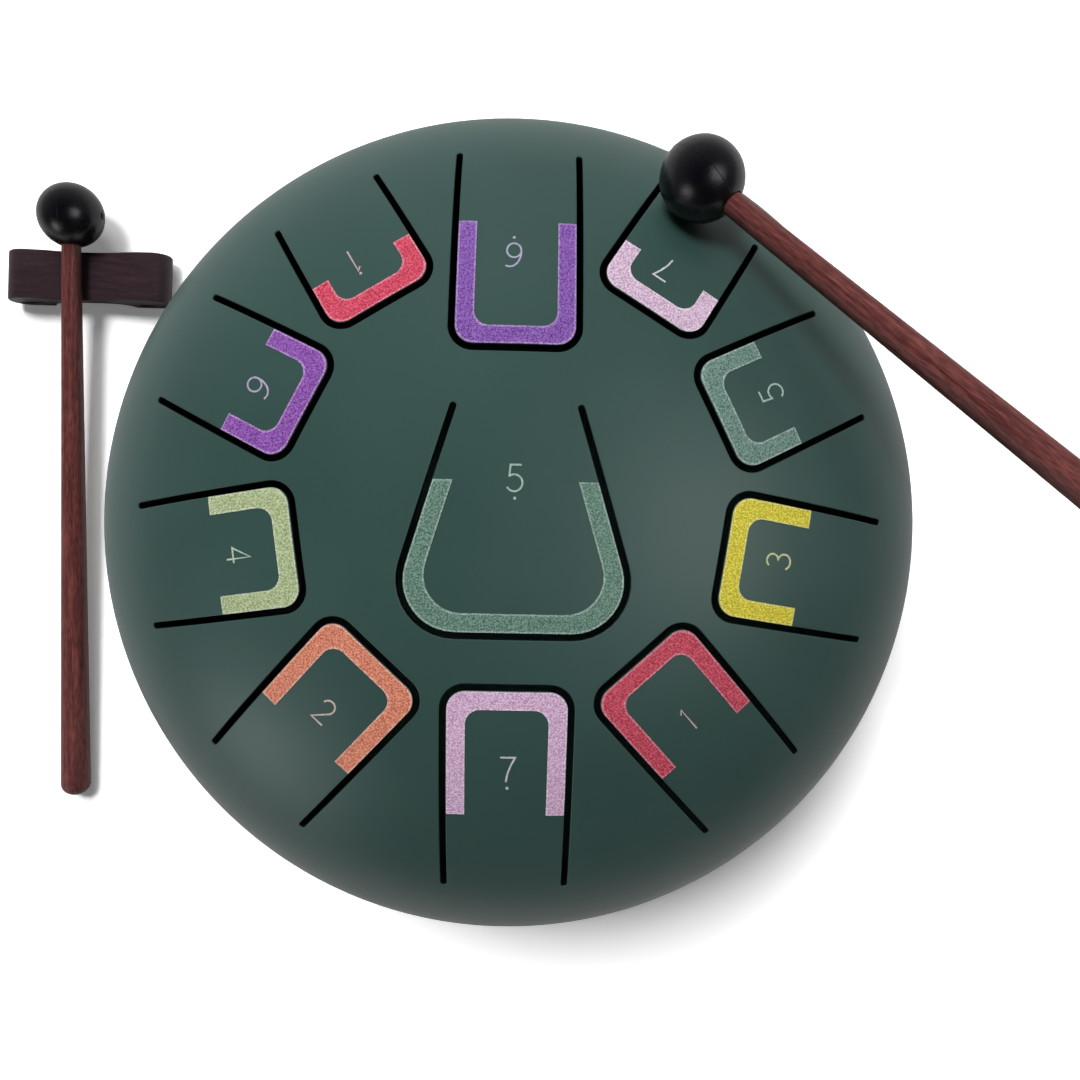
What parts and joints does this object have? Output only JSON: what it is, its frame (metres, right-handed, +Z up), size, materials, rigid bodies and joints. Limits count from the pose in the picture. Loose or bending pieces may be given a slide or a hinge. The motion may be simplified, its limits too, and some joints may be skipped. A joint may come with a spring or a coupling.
{
  "type": "steel tongue drum with mallets",
  "caption": "Domed steel tongue drum on rubber feet with U-shaped colour stickers, rubber-headed wooden mallets and a wave-shaped mallet rest.",
  "frame": {"origin": "on the table plane, at the middle of the whole set's plan; the drum's own axis is 4 mm to the left of it", "axes": "+Z up, +X to the player's right, +Y away from the player; the set is longest along X and lowest along Z"},
  "size_m": [0.395, 0.254, 0.1845],
  "materials": {
    "green_paint": "satin",
    "green_film": "grainy vinyl",
    "purple_film": "grainy vinyl",
    "pink_film": "grainy vinyl",
    "pale_pink_film": "grainy vinyl",
    "crimson_film": "grainy vinyl",
    "red_film": "grainy vinyl",
    "orange_film": "grainy vinyl",
    "yellow_film": "grainy vinyl",
    "lime_film": "grainy vinyl",
    "teal_film": "grainy vinyl",
    "black_rubber": "satin",
    "zinc_steel": "zinc plated",
    "dark_wood": "stained and lacquered",
    "red_wood": "stained and lacquered"
  },
  "bodies": {
    "drum": {"top_shell": "green_paint", "bottom_shell": "green_paint", "foot_1": "black_rubber", "foot_2": "black_rubber", "foot_3": "black_rubber", "foot_screw_1": "zinc_steel", "foot_screw_2": "zinc_steel", "foot_screw_3": "zinc_steel", "foot_nut_1": "zinc_steel", "foot_nut_2": "zinc_steel", "foot_nut_3": "zinc_steel"},
    "low_5": {"tongue_low_5": "green_paint", "sticker_low_5": "green_film"},
    "low_6": {"tongue_low_6": "green_paint", "sticker_low_6": "purple_film"},
    "low_7": {"tongue_low_7": "green_paint", "sticker_low_7": "pink_film"},
    "note_1": {"tongue_1": "green_paint", "sticker_1": "crimson_film"},
    "note_2": {"tongue_2": "green_paint", "sticker_2": "orange_film"},
    "note_3": {"tongue_3": "green_paint", "sticker_3": "yellow_film"},
    "note_4": {"tongue_4": "green_paint", "sticker_4": "lime_film"},
    "note_5": {"tongue_5": "green_paint", "sticker_5": "teal_film"},
    "note_6": {"tongue_6": "green_paint", "sticker_6": "purple_film"},
    "note_7": {"tongue_7": "green_paint", "sticker_7": "pale_pink_film"},
    "high_1": {"tongue_high_1": "green_paint", "sticker_high_1": "red_film"},
    "rest": {"mallet_rest": "dark_wood"},
    "left_mallet": {"left_mallet_head": "black_rubber", "left_mallet_shaft": "red_wood"},
    "right_mallet": {"right_mallet_head": "black_rubber", "right_mallet_shaft": "red_wood"}
  },
  "joints": [
    {"name": "low_5_flex", "type": "hinge", "parent": "drum", "child": "low_5", "pos_m": [-0.00302, 0.029, 0.12676], "axis": [-1, 0, 0], "range_deg": [-0.5, 0.5], "stiffness_Nm_per_rad": 110},
    {"name": "low_6_flex", "type": "hinge", "parent": "drum", "child": "low_6", "pos_m": [-0.00402, 0.1042, 0.10386], "axis": [-1, 0, 0], "range_deg": [-0.5, 0.5], "stiffness_Nm_per_rad": 110},
    {"name": "low_7_flex", "type": "hinge", "parent": "drum", "child": "low_7", "pos_m": [-0.00402, -0.1042, 0.10386], "axis": [1, 0, 0], "range_deg": [-0.5, 0.5], "stiffness_Nm_per_rad": 111},
    {"name": "note_1_flex", "type": "hinge", "parent": "drum", "child": "note_1", "pos_m": [0.06638, -0.07683, 0.10386], "axis": [0.7373, 0.6756, 0], "range_deg": [-0.5, 0.5], "stiffness_Nm_per_rad": 122},
    {"name": "note_2_flex", "type": "hinge", "parent": "drum", "child": "note_2", "pos_m": [-0.07442, -0.07683, 0.10386], "axis": [0.7373, -0.6756, 0], "range_deg": [-0.5, 0.5], "stiffness_Nm_per_rad": 122},
    {"name": "note_3_flex", "type": "hinge", "parent": "drum", "child": "note_3", "pos_m": [0.09901, -0.01558, 0.10386], "axis": [0.1495, 0.9888, 0], "range_deg": [-0.5, 0.5], "stiffness_Nm_per_rad": 140},
    {"name": "note_4_flex", "type": "hinge", "parent": "drum", "child": "note_4", "pos_m": [-0.10705, -0.01558, 0.10386], "axis": [0.1495, -0.9888, 0], "range_deg": [-0.5, 0.5], "stiffness_Nm_per_rad": 140},
    {"name": "note_5_flex", "type": "hinge", "parent": "drum", "child": "note_5", "pos_m": [0.08932, 0.04654, 0.10379], "axis": [-0.4462, 0.8949, 0], "range_deg": [-0.5, 0.5], "stiffness_Nm_per_rad": 146},
    {"name": "note_6_flex", "type": "hinge", "parent": "drum", "child": "note_6", "pos_m": [-0.09736, 0.04654, 0.10379], "axis": [-0.4462, -0.8949, 0], "range_deg": [-0.5, 0.5], "stiffness_Nm_per_rad": 145},
    {"name": "note_7_flex", "type": "hinge", "parent": "drum", "child": "note_7", "pos_m": [0.05081, 0.08878, 0.10376], "axis": [-0.8508, 0.5255, 0], "range_deg": [-0.5, 0.5], "stiffness_Nm_per_rad": 164},
    {"name": "high_1_flex", "type": "hinge", "parent": "drum", "child": "high_1", "pos_m": [-0.05885, 0.08878, 0.10376], "axis": [-0.8508, -0.5255, 0], "range_deg": [-0.5, 0.5], "stiffness_Nm_per_rad": 165},
    {"name": "rest_lift", "type": "slide", "parent": "drum", "child": "rest", "axis": [0, 0, 1], "range_m": [0, 0.1]},
    {"name": "left_mallet_lift", "type": "slide", "parent": "rest", "child": "left_mallet", "axis": [0, 0, 1], "range_m": [0, 0.15]},
    {"name": "right_mallet_swing", "type": "hinge", "parent": "drum", "child": "right_mallet", "pos_m": [0.16266, -0.01947, 0.16669], "axis": [0.6997, 0.7145, 0], "range_deg": [0, 35]}
  ]
}
